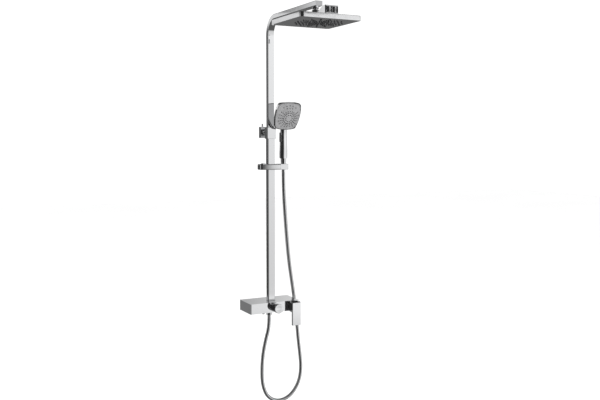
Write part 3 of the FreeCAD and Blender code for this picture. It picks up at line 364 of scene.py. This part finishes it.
def bridge(bm, low, high):
    """Faces between two rings of vertices; a ring may be one vertex, which closes the piece."""
    around = max(len(low), len(high))
    for k in range(around):
        j = (k + 1) % around
        corners = [low[k % len(low)], low[j % len(low)], high[j % len(high)], high[k % len(high)]]
        bm.faces.new(list(dict.fromkeys(corners)))


def loft(bm, outlines):
    """A closed skin over a row of outlines."""
    rings = [[bm.verts.new(at) for at in outline] for outline in outlines]
    for low, high in zip(rings, rings[1:]):
        bridge(bm, low, high)
    bm.faces.new(rings[0])
    bm.faces.new(rings[-1])


def turn(bm, profile, frame_at, around):
    """Turn (radius, height) pairs about +Z of a frame; a zero radius closes the piece."""
    rings = []
    for radius, height in profile:
        spots = [(0.0, 0.0)]
        if radius:
            spots = [(math.cos(a) * radius, math.sin(a) * radius) for a in steps_round(around)]
        rings.append(
            [bm.verts.new(frame_at @ Vector((x * MM, y * MM, height * MM))) for x, y in spots]
        )
    for low, high in zip(rings, rings[1:]):
        bridge(bm, low, high)


def smoothed(mesh, crease):
    """The mesh shaded smooth but for edges sharper than the crease angle, if there is one."""
    mesh.polygons.foreach_set("use_smooth", [True] * len(mesh.polygons))
    if crease:
        mesh.set_sharp_from_angle(angle=math.radians(crease))
    return mesh


def finish_mesh(name, bm, crease=CREASE):
    """A smooth-shaded mesh from bmesh, with its faces turned outwards."""
    bmesh.ops.recalc_face_normals(bm, faces=bm.faces)
    mesh = bpy.data.meshes.new(name)
    bm.to_mesh(mesh)
    bm.free()
    return smoothed(mesh, crease)


def box(x_span, y_span, z_span):
    """A cutter between pairs of limits in millimetres."""
    bm = bmesh.new()
    bmesh.ops.create_cube(bm, size=1.0)
    spans = (x_span, y_span, z_span)
    size = Vector([high - low for low, high in spans]) * MM
    middle = Vector([high + low for low, high in spans]) * MM / 2
    for v in bm.verts:
        v.co = Vector((v.co.x * size.x, v.co.y * size.y, v.co.z * size.z)) + middle
    mesh = bpy.data.meshes.new("cutter")
    bm.to_mesh(mesh)
    bm.free()
    return mesh


def about(middle, half):
    """A pair of limits round a middle."""
    return middle - half, middle + half


def carved(mesh, cutters):
    """The mesh less its cutters."""
    made = bpy.data.objects.new("carving", mesh)
    SCENE.collection.objects.link(made)
    helpers = []
    for cutter in cutters:
        helper = bpy.data.objects.new("cutter", cutter)
        SCENE.collection.objects.link(helper)
        helpers.append(helper)
        step = made.modifiers.new("cut", "BOOLEAN")
        step.operation = "DIFFERENCE"
        step.solver = "EXACT"
        step.object = helper
    bpy.context.view_layer.update()
    depsgraph = bpy.context.evaluated_depsgraph_get()
    result = bpy.data.meshes.new_from_object(made.evaluated_get(depsgraph))
    for helper in (made, *helpers):
        bpy.data.objects.remove(helper)
    return smoothed(result, CARVED_CREASE)


def place(name, mesh, body, slot, replaced=()):
    """An object with its material and slot, riding a body unless that is None."""
    made = bpy.data.objects.new(name, mesh)
    SCENE.collection.objects.link(made)
    mesh.materials.clear()
    mesh.materials.append(MATERIALS[slot])
    if body:
        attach(made, body)
    if replaced:
        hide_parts(*replaced)
    return made


# ---------------------------------------------------------------- hose

# Control points in millimetres, from the handset's nut down and round to the outlet.
HOSE_ROUTE = (
    (56, -85, 580), (56, -85, 530), (60, -82, 463), (68, -76, 389), (78, -67, 314), (90, -56, 238),
    (105, -42, 164), (122, -29, 94), (136, -22, 26), (146, -20, -44), (153, -20, -112),
    (158, -22, -178), (165, -25, -243), (169, -29, -309), (154, -34, -372), (108, -40, -424),
    (47, -46, -436), (-6, -51, -408), (-31, -54, -349), (-35, -57, -280), (-30, -58, -213),
    (-17, -58, -152), (0, -58, -97), (0, -58, -44),
)
HOSE_FINENESS, HOSE_AROUND = 24, 24
HOSE_RADIUS = 7.5 * MM
RIB_PITCH, RIB_DEPTH = 2.4 * MM, 0.28 * MM
STATIONS_PER_RIB, RIB_SHARPNESS = 6, 8
FERRULE, FERRULE_LIP, FERRULE_STEP = 15.0 * MM, 0.8 * MM, 0.5 * MM


def hose_line():
    """The points along the route's NURBS spline."""
    data = bpy.data.curves.new("hose_route", "CURVE")
    data.dimensions = "3D"
    data.resolution_u = HOSE_FINENESS
    spline = data.splines.new("NURBS")
    spline.points.add(len(HOSE_ROUTE) - 1)
    for point, at in zip(spline.points, HOSE_ROUTE):
        point.co = (at[0] * MM, at[1] * MM, at[2] * MM, 1.0)
    spline.order_u = 3
    spline.use_endpoint_u = True
    route = bpy.data.objects.new("hose_route", data)
    line = bpy.data.meshes.new_from_object(route)
    points = [v.co.copy() for v in line.vertices]
    bpy.data.objects.remove(route)
    bpy.data.meshes.remove(line)
    return points


def resample(points, step):
    """Places along a line, a fixed distance apart: each with its tangent and its distance."""
    marks = [0.0]
    for a, b in zip(points, points[1:]):
        marks.append(marks[-1] + (b - a).length)
    count = round(marks[-1] / step)
    spots, index = [], 0
    for i in range(count + 1):
        want = marks[-1] * i / count
        while index < len(marks) - 2 and marks[index + 1] < want:
            index += 1
        run = marks[index + 1] - marks[index]
        share = (want - marks[index]) / run if run else 0.0
        spots.append((points[index].lerp(points[index + 1], share), want))
    stations = []
    for i, (at, mark) in enumerate(spots):
        before, after = spots[max(i - 1, 0)][0], spots[min(i + 1, count)][0]
        stations.append((at, (after - before).normalized(), mark))
    return stations


def hose_radius(mark, total):
    """The hose's radius at a distance along it: ribs, and a smooth stepped sleeve at each end."""
    end = min(mark, total - mark)
    if end < FERRULE:
        in_lip = end < FERRULE_LIP or end > FERRULE - FERRULE_LIP
        return HOSE_RADIUS - (FERRULE_STEP if in_lip else 0.0)
    phase = math.pi * mark / RIB_PITCH
    return HOSE_RADIUS - RIB_DEPTH * abs(math.cos(phase)) ** RIB_SHARPNESS


def make_hose():
    """The ribbed metal hose with a smooth crimped sleeve at each end."""
    points = hose_line()
    stations = resample(points, RIB_PITCH / STATIONS_PER_RIB)
    outlines = []
    side = stations[0][1].orthogonal().normalized()
    for at, tangent, mark in stations:
        side = (side - tangent * side.dot(tangent)).normalized()
        other = tangent.cross(side)
        radius = hose_radius(mark, stations[-1][2])
        turns = [side * math.cos(a) + other * math.sin(a) for a in steps_round(HOSE_AROUND)]
        outlines.append([at + turned * radius for turned in turns])
    bm = bmesh.new()
    loft(bm, outlines)
    mesh = finish_mesh("ribbed_hose", bm, None)
    hose = place("ribbed_hose", mesh, None, "hose_chrome", ("shower_hose",))
    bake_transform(hose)


make_hose()

# ---------------------------------------------------------------- handset spray plate

# The plate's frame: millimetres across it, up it and out of it.
FACE_LEAN = 26
FACE_FRAME = shift(53, -133, 801) @ Matrix.Rotation(math.radians(90 + FACE_LEAN), 4, "X")
FACE_SIDE = 56.5
FOOT_SIDE, FOOT_Y = 45, -55
CROWN, CROWN_REACH = 8, 58
CROWN_SPHERE = (CROWN_REACH**2 + CROWN**2) / (2 * CROWN)
PLATE_RIM = -0.4
SPRAY_CENTRE, SPRAY_EDGE = (4, -6), 7
# Radius and number of nozzles of the two inner rings, then the radii of the spokes' nozzles.
SPRAY_RINGS = ((15, 10), (24, 20))
SPOKE_RADII, SPOKES = (31, 38.5, 46), 20
CREST = ((0, 49), (-14, 46), (14, 46), (-27, 40), (28, 40), (-11, 36.5), (1, 37.5), (13, 36.5))
CREST_HALF_ANGLE = math.radians(40)
NOZZLE_PROFILE = ((0.0, -2.0), (1.2, -2.0), (2.2, -0.1), (2.2, 0.25), (1.7, 0.6), (1.2, 1.5),
                  (0.75, 1.6), (0.5, 1.1), (0.0, 1.0))
BEAD_WIDE, BEAD_FLAT = 0.55, 0.6
BEAD_STEPS, BEAD_AROUND = 72, 10
JET_AROUND = 14


def on_ring(centre, radius, angle):
    """A point on a ring."""
    return centre[0] + radius * math.cos(angle), centre[1] + radius * math.sin(angle)


def on_plate(x, y):
    """Whether a nozzle there keeps clear of the plate's rim."""
    half = FACE_SIDE - (FACE_SIDE - FOOT_SIDE) * max(0, -y) / -FOOT_Y
    return abs(x) < half - SPRAY_EDGE and FOOT_Y + SPRAY_EDGE < y


def spray_places():
    """Nozzle centres on the plate: two rings, spokes round them, and a crest of eight above."""
    places = []
    rings = [(radius, count, False) for radius, count in SPRAY_RINGS]
    rings += [(radius, SPOKES, True) for radius in SPOKE_RADII]
    for radius, count, trimmed in rings:
        for angle in steps_round(count):
            spot = on_ring(SPRAY_CENTRE, radius, angle)
            beside_top = abs(angle - math.pi / 2) < CREST_HALF_ANGLE
            under_crest = radius > SPOKE_RADII[0] and beside_top
            if not trimmed or (on_plate(*spot) and not under_crest):
                places.append(spot)
    return places + list(CREST)


def on_dome(x, y):
    """A frame on the domed plate, +Z out of it."""
    height = math.sqrt(CROWN_SPHERE**2 - x**2 - y**2) - (CROWN_SPHERE - CROWN) + PLATE_RIM
    lean = Vector((x, y, CROWN_SPHERE)).to_track_quat("Z", "Y").to_matrix().to_4x4()
    return FACE_FRAME @ shift(x, y, height) @ lean


def make_spray_nozzles():
    """Flanged rubber nozzles, each with its jet hole."""
    bm = bmesh.new()
    for x, y in spray_places():
        turn(bm, NOZZLE_PROFILE, on_dome(x, y), JET_AROUND)
    mesh = finish_mesh("spray_nozzles", bm)
    place("spray_nozzles", mesh, "handset", "silicone", ("handset_nozzles",))


def make_spray_rings():
    """Two fine dark beads that join the nozzles of the two inner rings."""
    bead = [
        Vector((BEAD_WIDE * math.cos(a) * MM, 0.0, BEAD_WIDE * BEAD_FLAT * math.sin(a) * MM))
        for a in steps_round(BEAD_AROUND)
    ]
    bm = bmesh.new()
    for major, _ in SPRAY_RINGS:
        rings = []
        for angle in steps_round(BEAD_STEPS):
            spot = on_dome(*on_ring(SPRAY_CENTRE, major, angle)) @ Matrix.Rotation(angle, 4, "Z")
            rings.append([bm.verts.new(spot @ at) for at in bead])
        for low, high in zip(rings, rings[1:] + rings[:1]):
            bridge(bm, low, high)
    place("spray_rings", finish_mesh("spray_rings", bm), "handset", "silicone")


make_spray_nozzles()
make_spray_rings()

# ---------------------------------------------------------------- mode button

BUTTON_BACK, BUTTON_Y, BUTTON_Z = 44.0, -85.0, 715.0
BUTTON_OUT, BUTTON_HALF, BUTTON_TALL = 6.4, 7.0, 20.0
BUTTON_ROUND, BUTTON_NARROWING = 2.6, 0.3
ROUND_STEPS, BUTTON_STEPS = 6, 24


def make_mode_button():
    """The mode button: a pad that follows the handle's round left side, with rolled ends."""
    quarter = [math.pi / 2 * k / ROUND_STEPS for k in range(ROUND_STEPS + 1)]
    half_turn = [math.pi * (k / BUTTON_STEPS - 0.5) for k in range(BUTTON_STEPS + 1)]
    top = [
        (BUTTON_TALL - BUTTON_ROUND * (1 - math.sin(a)), BUTTON_ROUND * (1 - math.cos(a)))
        for a in quarter
    ]
    levels = [(-height, inset) for height, inset in reversed(top)] + top
    outlines = []
    for height, inset in levels:
        out, half = BUTTON_OUT - inset, BUTTON_HALF - BUTTON_NARROWING * inset
        plan = [
            (BUTTON_BACK - out * math.cos(a), BUTTON_Y - half * math.sin(a)) for a in half_turn
        ]
        outlines.append([(x * MM, y * MM, (BUTTON_Z + height) * MM) for x, y in plan])
    bm = bmesh.new()
    loft(bm, outlines)
    mesh = finish_mesh("mode_pad", bm, SOFT_CREASE)
    place("mode_pad", mesh, "mode_button", "plated_plastic", ("handset_mode_button",))


make_mode_button()

# ---------------------------------------------------------------- rain nozzles

HEAD_Y, HEAD_LOW = -475, 1137.6
FIELD_X = 14
FIELD_RINGS, FIELD_SPOKES = 6, 16
FIELD_FIRST, FIELD_STEP = 22, 13
RAIN_PROFILE = ((0.0, -4.0), (3.0, -4.0), (3.0, -0.1), (3.4, 0.0), (3.4, 0.5), (2.6, 0.9),
                (1.9, 3.6), (1.3, 3.7), (0.8, 3.0), (0.0, 2.9))
MAT_PROFILE = ((0.0, -4.6), (93.0, -4.6), (93.0, -2.6), (0.0, -2.6))
MAT_AROUND = 64


def make_rain_nozzles():
    """The rubber mat above the face plate and its nozzles, which stand out below."""
    bm = bmesh.new()
    upside_down = Matrix.Rotation(math.pi, 4, "X")
    turn(bm, MAT_PROFILE, shift(FIELD_X, HEAD_Y, HEAD_LOW) @ upside_down, MAT_AROUND)
    for index in range(FIELD_RINGS):
        for angle in steps_round(FIELD_SPOKES):
            x, y = on_ring((FIELD_X, HEAD_Y), FIELD_FIRST + index * FIELD_STEP, angle)
            turn(bm, RAIN_PROFILE, shift(x, y, HEAD_LOW) @ upside_down, JET_AROUND)
    mesh = finish_mesh("rain_nozzles", bm)
    place("rain_nozzles", mesh, "rain_head", "silicone", ("rain_nozzle_mat",))


make_rain_nozzles()

# ---------------------------------------------------------------- knob

# Radius and distance from the wall.
KNOB_PROFILE = ((0.0, 157.6), (12.0, 157.7), (18.4, 158.0), (19.1, 157.9), (19.45, 157.5),
                (19.5, 157.0), (19.5, 129.0), (19.2, 128.7), (19.2, 127.6), (19.5, 127.3),
                (19.5, 122.3), (19.2, 121.7), (18.6, 121.5), (16.0, 121.5), (16.0, 150.0),
                (4.1, 150.0), (4.1, 143.4), (0.0, 143.4))
KNOB_AROUND = 96
OFF_THE_WALL = Matrix.Rotation(math.radians(90), 4, "X")


def make_knob():
    """The diverter knob: a barely dished front, a fine rounded edge and a groove near its back."""
    bm = bmesh.new()
    turn(bm, KNOB_PROFILE, OFF_THE_WALL, KNOB_AROUND)
    mesh = finish_mesh("turned_knob", bm, SOFT_CREASE)
    place("turned_knob", mesh, "diverter", "chrome", ("diverter_knob",))


make_knob()

# ---------------------------------------------------------------- lever

LEVER_X, LEVER_HALF = 82.5, 19.0
LEVER_FRONT, LEVER_BEHIND = -158.0, -147.0
LEVER_TOP, LEVER_LOW = 21.0, -78.3
HUB_BACK, HUB_HIGH, HUB_LOW = -124.5, 20.6, -22.5
TOP_FALL, HUB_FALL = 2.6, 4.6
LEVER_EDGE, EDGE_STEPS = 0.7, 4
# Bores for the spindle, by distance from the wall, and for the grub screw, by height.
SPINDLE_BORE = ((0.0, 120.0), (12.1, 120.0), (7.1, 138.0), (0.0, 138.0))
SCREW_BORE, SCREW_Y = ((0.0, -79.0), (2.1, -79.0), (2.1, -4.0), (0.0, -4.0)), -131.0
BORE_AROUND, SCREW_AROUND = 48, 24


def make_lever():
    """The lever: a hanging plate with soft edges and a sloping top, on a square hub with a bore."""
    profile = (
        (HUB_BACK, HUB_LOW),
        (HUB_BACK, HUB_HIGH),
        (LEVER_BEHIND, HUB_HIGH - HUB_FALL),
        (LEVER_BEHIND, LEVER_TOP),
        (LEVER_FRONT, LEVER_TOP - TOP_FALL),
        (LEVER_FRONT, LEVER_LOW),
        (LEVER_BEHIND, LEVER_LOW),
        (LEVER_BEHIND, HUB_LOW),
    )
    outlines = [
        [(x * MM, y * MM, z * MM) for y, z in profile]
        for x in (LEVER_X - LEVER_HALF, LEVER_X + LEVER_HALF)
    ]
    bm = bmesh.new()
    loft(bm, outlines)
    bmesh.ops.recalc_face_normals(bm, faces=bm.faces)
    edges = list(bm.edges)
    bmesh.ops.bevel(
        bm, geom=edges, offset=LEVER_EDGE * MM, segments=EDGE_STEPS, profile=0.5, affect="EDGES"
    )
    bores = bmesh.new()
    turn(bores, SPINDLE_BORE, shift(LEVER_X, 0.0) @ OFF_THE_WALL, BORE_AROUND)
    turn(bores, SCREW_BORE, shift(LEVER_X, SCREW_Y), SCREW_AROUND)
    mesh = carved(finish_mesh("lever_block", bm), [finish_mesh("lever_bores", bores)])
    lever = place("plate_lever", mesh, "lever", "chrome", ("mixer_lever",))
    lever.modifiers.new("even", "WEIGHTED_NORMAL").keep_sharp = True


# ---------------------------------------------------------------- slider bar

BAR_LEFT, BAR_RIGHT = -52.0, 37.0
BAR_FRONT, BAR_BACK = -98.0, -52.0
BAR_Z, BAR_HALF = 591.0, 12.0
BAR_BOW, BAR_CROWN, BAR_LIP, BAR_CORNER = 6.0, 1.4, 0.8, 9.0
FRONT_STEPS, CORNER_STEPS, LEVEL_STEPS = 24, 8, 16
TUBE_Y, HOLE_X, HOLE_Y = -75.0, 17.35, 12.6
POCKET_FROM, POCKET_TO, POCKET_HALF, POCKET_FLOOR = 13, 27, 9, 2
PIN_DEEP, PIN_HALF = 12, 4.1
CUT_PAST = 20


def bar_outline(inset, height):
    """The bar's plan at a height: its front bows back to the left, its left corners are round."""
    points = []
    right, reach = BAR_RIGHT - inset, BAR_CORNER - inset
    straight = BAR_RIGHT - BAR_LEFT - BAR_CORNER - inset
    for step in range(FRONT_STEPS + 1):
        x = right - straight * step / FRONT_STEPS
        bow = BAR_BOW * ((BAR_RIGHT - x) / (BAR_RIGHT - BAR_LEFT)) ** 2
        points.append((x, BAR_FRONT + bow + inset))
    left, front = points[-1]
    quarter = [math.pi / 2 * step / CORNER_STEPS for step in range(1, CORNER_STEPS + 1)]
    for angle in quarter:
        points.append((left - reach * math.sin(angle), front + reach * (1 - math.cos(angle))))
    for angle in quarter:
        x = BAR_LEFT + inset + reach * (1 - math.cos(angle))
        points.append((x, BAR_BACK - inset - reach * (1 - math.sin(angle))))
    points.append((right, BAR_BACK - inset))
    return [(x * MM, y * MM, height * MM) for x, y in points]


def make_slider_bar():
    """The bar that rides on the column: a crowned, bowed front, a tube hole and a button pocket."""
    outlines = []
    for step in range(LEVEL_STEPS + 1):
        share = -1 + 2 * step / LEVEL_STEPS
        inset = BAR_CROWN * share**4 + (BAR_LIP if abs(share) == 1 else 0.0)
        outlines.append(bar_outline(inset, BAR_Z + BAR_HALF * share))
    bm = bmesh.new()
    loft(bm, outlines)
    tube_hole = box(about(0.0, HOLE_X), about(TUBE_Y, HOLE_Y), about(BAR_Z, CUT_PAST))
    pocket = box(
        (BAR_LEFT + POCKET_FROM, BAR_LEFT + POCKET_TO),
        about(TUBE_Y, POCKET_HALF),
        (BAR_Z + POCKET_FLOOR, BAR_Z + CUT_PAST),
    )
    pin_hole = box(
        (BAR_RIGHT - PIN_DEEP, BAR_RIGHT + 1), about(TUBE_Y, PIN_HALF), about(BAR_Z, PIN_HALF)
    )
    mesh = carved(finish_mesh("slider_bar", bm), [tube_hole, pocket, pin_hole])
    place("slider_bar", mesh, "slider", "plated_plastic", ("slider_body",))


make_slider_bar()
make_lever()
